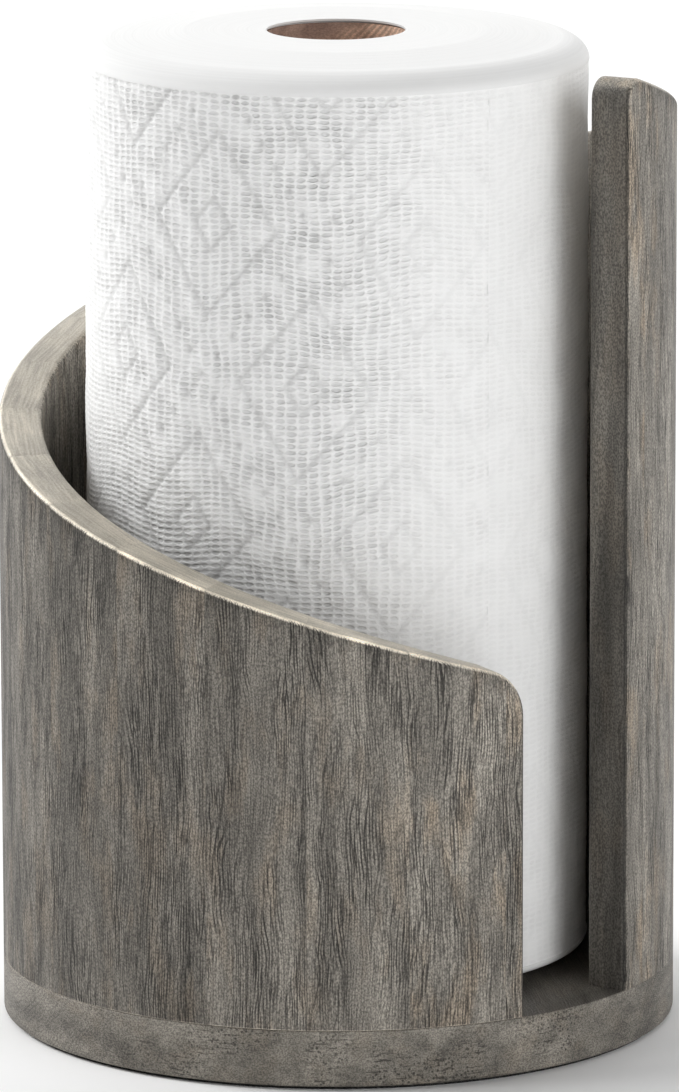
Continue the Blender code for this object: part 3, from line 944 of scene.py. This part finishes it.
def add_core(material):
    """The cardboard tube, whose spiral plies, dark and light, show as a low step along a helix.
    Their tints are partly painted shade and painted light.
    """
    profile = core_profile()
    height = profile[:, 1:]
    azimuths = np.arange(CORE_FACETS) * 360 / CORE_FACETS
    phase = (height / PLY_PITCH + azimuths[None, :] / 360) % 1
    middle = (CORE_BORE_RADIUS + CORE_RADIUS) / 2
    inward = np.sign(middle - profile[:, :1])
    radius = profile[:, :1] + inward * PLY_STEP * smooth_step(phase, 0.0, 0.9)
    rings = around(azimuths[None, :], radius, height)
    mesh = turned_mesh("cardboard_core", rings, closed=True)
    seam = np.exp(-((np.minimum(phase, 1 - phase) / SEAM_SPREAD) ** 2))
    # the lit ply lies on the far right of the bore's back wall, as painted light there
    behind = (phase - (ROLL_TOP / PLY_PITCH + 0.5)) % 1
    ply = smooth_step(behind, *LIGHT_PLY_START) * smooth_step(behind, *LIGHT_PLY_END)
    along = np.radians(azimuths)[None, :] * CORE_BORE_RADIUS
    diagonal = np.abs(along - math.pi * CORE_BORE_RADIUS) - height
    set_attributes(mesh, seam=seam.ravel(), ply=ply.ravel(), diagonal=diagonal.ravel())
    add_piece("cardboard_core", mesh, material, "core", ["roll_core"])


def quarter_turn(flank, level, width, height):
    """(radius, height) from a level end, round a quarter of an ellipse, to an upright flank."""
    angles = np.linspace(math.pi / 2, 0, SHOULDER_STEPS + 1)
    radius = flank - width + width * np.cos(angles)
    return pairs(radius, level - height + height * np.sin(angles))


def slope_between(start, end, step):
    """Evenly spaced (radius, height) points on a straight line, without its last point."""
    count = max(2, round(math.dist(start, end) / step))
    return np.linspace(start, end, count, endpoint=False)


def roll_profile(flank):
    """(radius, height) up the bore of the wound paper, over its top and back under its foot."""
    step = WINDING_PITCH / 2
    face = ROLL_RADIUS - SHEET_SINK
    shoulder = quarter_turn(face, ROLL_TOP - CROWN_DROP, SHOULDER_WIDTH, SHOULDER_DROP)
    foot = quarter_turn(face, ROLL_BOTTOM + FOOT_RISE, FOOT_ROUNDING, -FOOT_ROUNDING)[::-1]
    lip = CORE_BORE_RADIUS + LIP_GAP
    return np.vstack([
        slope_between((BORE_RADIUS, ROLL_BOTTOM), (BORE_RADIUS, ROLL_TOP - LIP_HEIGHT), 0.02),
        [[BORE_RADIUS, ROLL_TOP - LIP_HEIGHT], [lip, ROLL_TOP - 0.6 * LIP_HEIGHT]],
        slope_between((lip, ROLL_TOP), (CROWN_START, ROLL_TOP), step),
        slope_between((CROWN_START, ROLL_TOP), shoulder[0], step),
        shoulder,
        [[flank, shoulder[-1, 1] - FLANK_GAP], [flank, foot[0, 1] + FLANK_GAP]],
        foot,
        slope_between(foot[-1], (FOOT_FLAT_RADIUS, ROLL_BOTTOM), step)[1:],
        slope_between((FOOT_FLAT_RADIUS, ROLL_BOTTOM), (BORE_RADIUS, ROLL_BOTTOM), step),
    ])


def winding_relief(rings, winding):
    """How far each winding stands back from the roll's end, by a steady hash of its number."""
    uneven = np.sin(np.floor(winding) * 12.9898) * 43758.5453
    uneven = (uneven - np.floor(uneven)) * np.abs(np.sin(math.pi * winding))
    softness = 0.5 + 0.5 * soft_waves(rings[..., 0], rings[..., 1], 0.05, 7)
    return WINDING_RELIEF * (uneven + np.clip(softness, 0, 1) + 0.1)


def add_roll_body(material):
    """The wound paper under its outermost turn, with windings that show on both ends."""
    flank = ROLL_RADIUS - SHEET_BACK - 2 * SHEET_THICKNESS
    profile = roll_profile(flank)
    rings = rings_of(profile, ROLL_FACETS)
    azimuths = np.arange(ROLL_FACETS) * 360 / ROLL_FACETS
    radius, height = profile[:, :1], profile[:, 1:]
    relief = winding_relief(rings, radius / WINDING_PITCH + azimuths[None, :] / 360)
    inward = np.where(height > (ROLL_TOP + ROLL_BOTTOM) / 2, -1, 1)
    on_end = (np.abs(radius - BORE_RADIUS) > 1e-5) & (np.abs(radius - flank) > 1e-5)
    rings[..., 2] += np.where(on_end, inward * relief, 0)
    mesh = turned_mesh("wound_paper", rings, closed=True)
    add_piece("wound_paper", mesh, material, "paper", ["paper_roll"], 60)


def diamond_frame(along, height):
    """Distances along the two axes of the tilted pattern, from its reference centre."""
    turn = math.radians(DIAMOND_TURN)
    s, z = along - DIAMOND_CENTRE[0], height - DIAMOND_CENTRE[1]
    return s * math.cos(turn) + z * math.sin(turn), z * math.cos(turn) - s * math.sin(turn)


def macro_relief(along, height):
    """Where the nested diamonds' lines and the dots between them are pressed in, from 0 to 1."""
    u, v = diamond_frame(along, height)
    wide, tall = DIAMOND_SPACING
    p, q = u / wide + v / tall, u / wide - v / tall
    near_p, near_q = p - np.round(p), q - np.round(q)
    local_u, local_v = (near_p + near_q) * wide / 2, (near_p - near_q) * tall / 2
    lines = np.zeros(u.shape)
    for half_width, half_height in (LARGE_DIAMOND, SMALL_DIAMOND):
        scale = half_width * half_height / math.hypot(half_width, half_height)
        measure = np.abs(local_u) / half_width + np.abs(local_v) / half_height
        lines = np.maximum(lines, np.exp(-(((measure - 1) * scale / LINE_WIDTH) ** 2)))
    dots = np.zeros(u.shape)
    side = math.hypot(wide, tall)
    for a, b in ((p, q), (q, p)):
        from_line = (a - np.floor(a) - 0.5) * wide * tall / side
        place = b * DOTS_PER_SIDE
        from_dot = (place - np.floor(place) - 0.5) / DOTS_PER_SIDE * side / 2
        dots = np.maximum(dots, np.exp(-((from_line**2 + from_dot**2) / DOT_RADIUS**2)))
    return lines, dots


def steady(level, low, high, reach):
    """1 well between two bounds, and 0 at them."""
    return smooth_step(level - low, 0, reach) * smooth_step(high - level, 0, reach)


def firmness(azimuth, pressed):
    """How firmly the paper is embossed: less towards the slot, and less from the left on."""
    firm = pressed * (1 - FAINT * smooth_step(azimuth, *FAINT_AZIMUTHS))
    return firm * (1 - FAR_FAINT * smooth_step(azimuth, *FAR_FAINT_AZIMUTHS))


def cell_pattern(column, row, along, height):
    """How high the ridges between the small cells stand, and how strongly each cell is pressed."""
    row_ridge = np.where(row % ROWS_PER_CELL == 0, 1.0, 0.12)
    column_ridge = np.where(column % COLUMNS_PER_CELL == 0, 0.4, 0.0)
    ridge = np.maximum(row_ridge, column_ridge)
    chance = np.random.default_rng(12).uniform(0.6, 1, ridge.shape)
    strength = (0.8 + 0.25 * soft_waves(along, height, 0.012, 11)) * chance
    return ridge, strength * np.where(row // ROWS_PER_CELL % 2 == 0, 1.0, 0.85)


def sheet_mesh(name, first, last, low, high, pressed):
    """One towel: a finely embossed face, a plain back and edges that join them."""
    columns = round(math.radians(last - first) * ROLL_RADIUS / CELL_WIDTH * COLUMNS_PER_CELL)
    columns -= columns % BACK_STEP
    rows = round((high - low) / CELL_HEIGHT * ROWS_PER_CELL)
    rows -= rows % BACK_STEP
    column, row = np.arange(columns + 1)[None, :], np.arange(rows + 1)[:, None]
    even = np.linspace(first, last, columns + 1)[None, :]
    along = np.radians(even) * ROLL_RADIUS
    level = np.linspace(low, high, rows + 1)[:, None]
    ends = np.radians([first, last]) * ROLL_RADIUS
    height = level + ROW_WANDER * soft_waves(along, level, 0.05, 3) * steady(level, low, high, 0.02)
    sideways = COLUMN_WANDER * soft_waves(along, level, 0.02, 21) * steady(along, *ends, 0.006)
    along = along + sideways
    azimuth = np.degrees(along / ROLL_RADIUS)

    firm = firmness(azimuth, pressed)
    ridge, strength = cell_pattern(column, row, along, height)
    lines, dots = macro_relief(along, height)
    kept = 1 - np.maximum(0.5 * lines, 0.7 * dots)
    cells = CELL_DEPTH * strength * (1 - ridge) * kept
    depth = firm * (cells + LINE_DEPTH * lines + DOT_DEPTH * dots)
    bumps = SOFT_WAVE * soft_waves(along, height, 0.03, 5)
    bumps = bumps + CRUMPLE * firm * soft_waves(along, height, 0.0075, 31)
    sink = SHEET_SINK + bumps * steady(level, low, high, 0.004)
    base = ROLL_RADIUS - SHEET_THICKNESS * (FREE_EDGE_AZIMUTH - even) / 360
    face_radius = base - depth - np.maximum(sink, 0.00002)
    face_radius[:, [0, -1]] -= SHEET_END_STEP
    face = around(azimuth, face_radius, height)
    back = around(even, base - SHEET_BACK, level)[::BACK_STEP, ::BACK_STEP]

    offset = (rows + 1) * (columns + 1)
    faces = grid_faces(rows + 1, columns + 1)
    faces += grid_faces(*back.shape[:2], first=offset)
    faces += border_faces(rows, columns, offset)
    mesh = mesh_of(name, np.vstack([face.reshape(-1, 3), back.reshape(-1, 3)]), faces)
    plain = np.zeros(back.size // 3)
    cell = np.stack(np.broadcast_arrays(column / COLUMNS_PER_CELL, row / ROWS_PER_CELL, first), -1)
    grooved = firm * np.maximum(LINE_SHADE_SHARE * lines, dots)
    set_attributes(
        mesh,
        cell=np.vstack([cell.reshape(-1, 3), np.zeros((len(plain), 3))]),
        pitted=np.append((firm * strength * kept).ravel(), plain),
        grooved=np.append(grooved.ravel(), plain),
    )
    return mesh


def border_faces(rows, columns, offset):
    """Strips from the fine edge of a sheet's face to the coarse edge of its back."""
    fine = np.arange((rows + 1) * (columns + 1)).reshape(rows + 1, columns + 1)
    shape = rows // BACK_STEP + 1, columns // BACK_STEP + 1
    coarse = np.arange(shape[0] * shape[1]).reshape(shape) + offset
    faces = []
    for edge in (np.s_[0], np.s_[-1], np.s_[:, 0], np.s_[:, -1]):
        fine_edge, coarse_edge = fine[edge], coarse[edge]
        for k in range(len(coarse_edge) - 1):
            stretch = fine_edge[k * BACK_STEP : (k + 1) * BACK_STEP + 1]
            faces.append([*stretch.tolist(), int(coarse_edge[k + 1]), int(coarse_edge[k])])
    return faces


def add_sheets(material):
    """The outermost turn, sheet by sheet from the roll's free edge."""
    low = ROLL_BOTTOM + FOOT_RISE + FOOT_ROUNDING
    high = ROLL_TOP - CROWN_DROP - SHOULDER_DROP
    for k in range(SHEET_COUNT):
        last = FREE_EDGE_AZIMUTH - SHEET_ANGLE * k
        name = f"towel_sheet_{k + 1}"
        pressed = LAST_SHEET_PRESSED if k == SHEET_COUNT - 1 else 1.0
        mesh = sheet_mesh(name, last - SHEET_ANGLE, last, low, high, pressed)
        add_piece(name, mesh, material, "paper", ["paper_roll"], 80)


# The studio


def add_camera():
    """The photograph's view: a long lens in front, looking down a little."""
    yaw, pitch, roll = (math.radians(turn) for turn in CAMERA_TURNS)
    tilted = Matrix.Rotation(math.pi / 2 - pitch, 4, "X") @ Matrix.Rotation(roll, 4, "Z")
    lens = bpy.data.cameras.new("camera")
    lens.lens = FOCAL_LENGTH
    lens.sensor_width = SENSOR_WIDTH
    lens.clip_end = 200
    camera = linked("camera", lens)
    camera.matrix_world = Matrix.Translation(CAMERA_PLACE) @ Matrix.Rotation(-yaw, 4, "Z") @ tilted
    bpy.context.scene.camera = camera


def add_floor():
    """A plain pale floor, far wider than the picture."""
    mesh = bpy.data.meshes.new("floor")
    half = FLOOR_HALF_WIDTH
    corners = [(-half, -half, 0), (half, -half, 0), (half, half, 0), (-half, half, 0)]
    mesh.from_pydata(corners, [], [(0, 1, 2, 3)])
    tree = Tree("floor")
    haze = tree.ramp(tree.noise(tree.place(), 3, 2.0), 0.3, 0.7, 0.95, 0.97)
    mesh.materials.append(tree.finish(haze, 0.9, specular=0.0))
    floor = linked("floor", mesh)


def add_lamp(name, azimuth, elevation, spread, strength):
    """A soft, distant lamp: the wider its spread in degrees, the softer its shadows."""
    light = bpy.data.lights.new(name, "SUN")
    light.energy = strength
    light.angle = math.radians(spread)
    lamp = linked(name, light)
    height = math.radians(elevation)
    from_object = at_azimuth(azimuth, math.cos(height), math.sin(height))
    lamp.rotation_mode = "QUATERNION"
    lamp.rotation_quaternion = from_object.to_track_quat("Z", "Y")


def add_world(front, back):
    """A pale surround that is brighter behind the object than in front of it."""
    world = bpy.data.worlds.new("studio")
    bpy.context.scene.world = world
    tree = Tree("studio", world)
    backwards = tree.parts(tree.place("Generated"))[1]
    tree.feed(tree.surface.inputs["Color"], (1, 1, 1, 1))
    tree.feed(tree.surface.inputs["Strength"], tree.ramp(backwards, -0.1, 0.7, front, back))


def add_studio():
    add_camera()
    add_floor()
    add_world(front=0.0, back=1.65)
    add_lamp("left_lamp", azimuth=-115, elevation=31, spread=20, strength=1.6)
    add_lamp("upper_left_lamp", azimuth=-90, elevation=45, spread=25, strength=1.05)
    add_lamp("front_lamp", azimuth=0, elevation=12, spread=50, strength=0.38)
    add_lamp("right_lamp", azimuth=47, elevation=12, spread=50, strength=1.72)
    bpy.context.scene.view_settings.view_transform = "Standard"


def main():
    wall_wood = wood_material("wall_wood_fine")
    base_wood = wood_material("base_wood_fine")
    add_wall(wall_wood)
    add_base(base_wood)
    add_pad(rubber_material("pad_rubber_fine"))
    add_screws(steel_material("screw_steel_fine"))
    add_core(cardboard_material("core_cardboard_fine"))
    add_roll_body(paper_end_material("paper_ends_fine"))
    add_sheets(paper_material("towel_paper_fine"))
    add_studio()


main()
